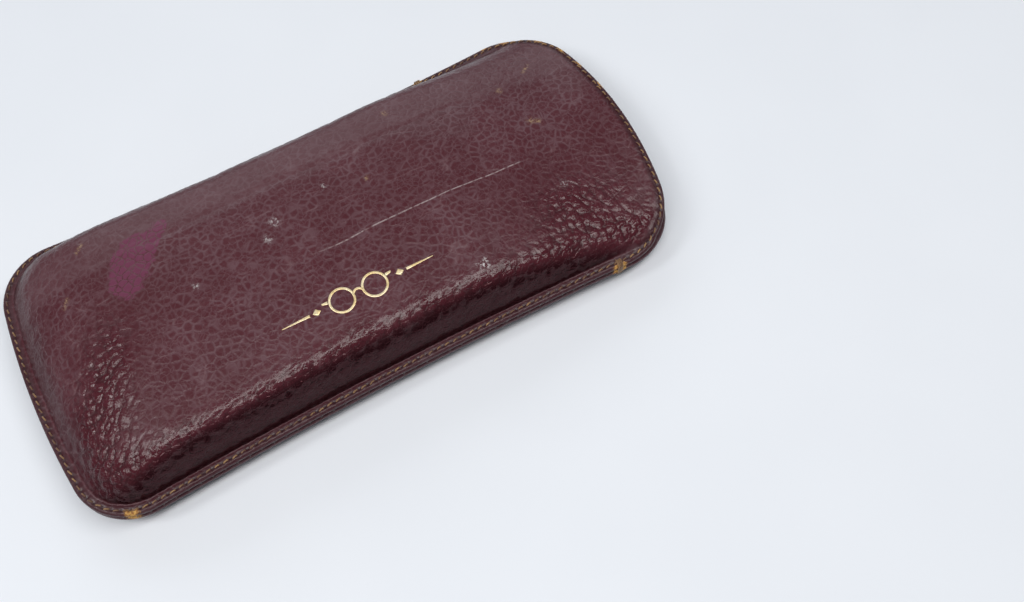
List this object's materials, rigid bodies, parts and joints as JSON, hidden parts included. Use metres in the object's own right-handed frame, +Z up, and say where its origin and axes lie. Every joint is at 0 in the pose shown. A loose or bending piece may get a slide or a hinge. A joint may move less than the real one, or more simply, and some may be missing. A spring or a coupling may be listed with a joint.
{
  "type": "slip-in spectacles case",
  "caption": "Slip-in spectacles case: two moulded, leather-covered, lined halves with sewn lips, joined along three sides and open at one short end.",
  "frame": {"origin": "centre of the case's footprint, on the surface the flat back lies on", "axes": "+X along the case towards the open mouth, +Y across it, +Z up out of the front panel"},
  "size_m": [0.168, 0.0792, 0.0223],
  "materials": {
    "burgundy_leather": "pebbled, semi-gloss",
    "board": "moulded fibreboard, matt",
    "lining_cloth": "short-pile velveteen, matt",
    "facing_leather": "smooth skiver, satin",
    "tan_thread": "waxed linen thread",
    "dark_thread": "waxed linen thread",
    "gold_foil": "hot-blocked foil, worn"
  },
  "bodies": {
    "root": {"front_cover": "burgundy_leather", "front_stiffener": "board", "front_lining": "lining_cloth", "front_mouth_facing": "facing_leather", "front_edge_stitching": "tan_thread", "back_cover": "burgundy_leather", "back_stiffener": "board", "back_lining": "lining_cloth", "back_mouth_facing": "facing_leather", "back_edge_stitching": "tan_thread", "side_seam_thread": "dark_thread", "near_bar_tack": "tan_thread", "far_bar_tack": "tan_thread", "foil_emblem": "gold_foil"}
  },
  "joints": []
}
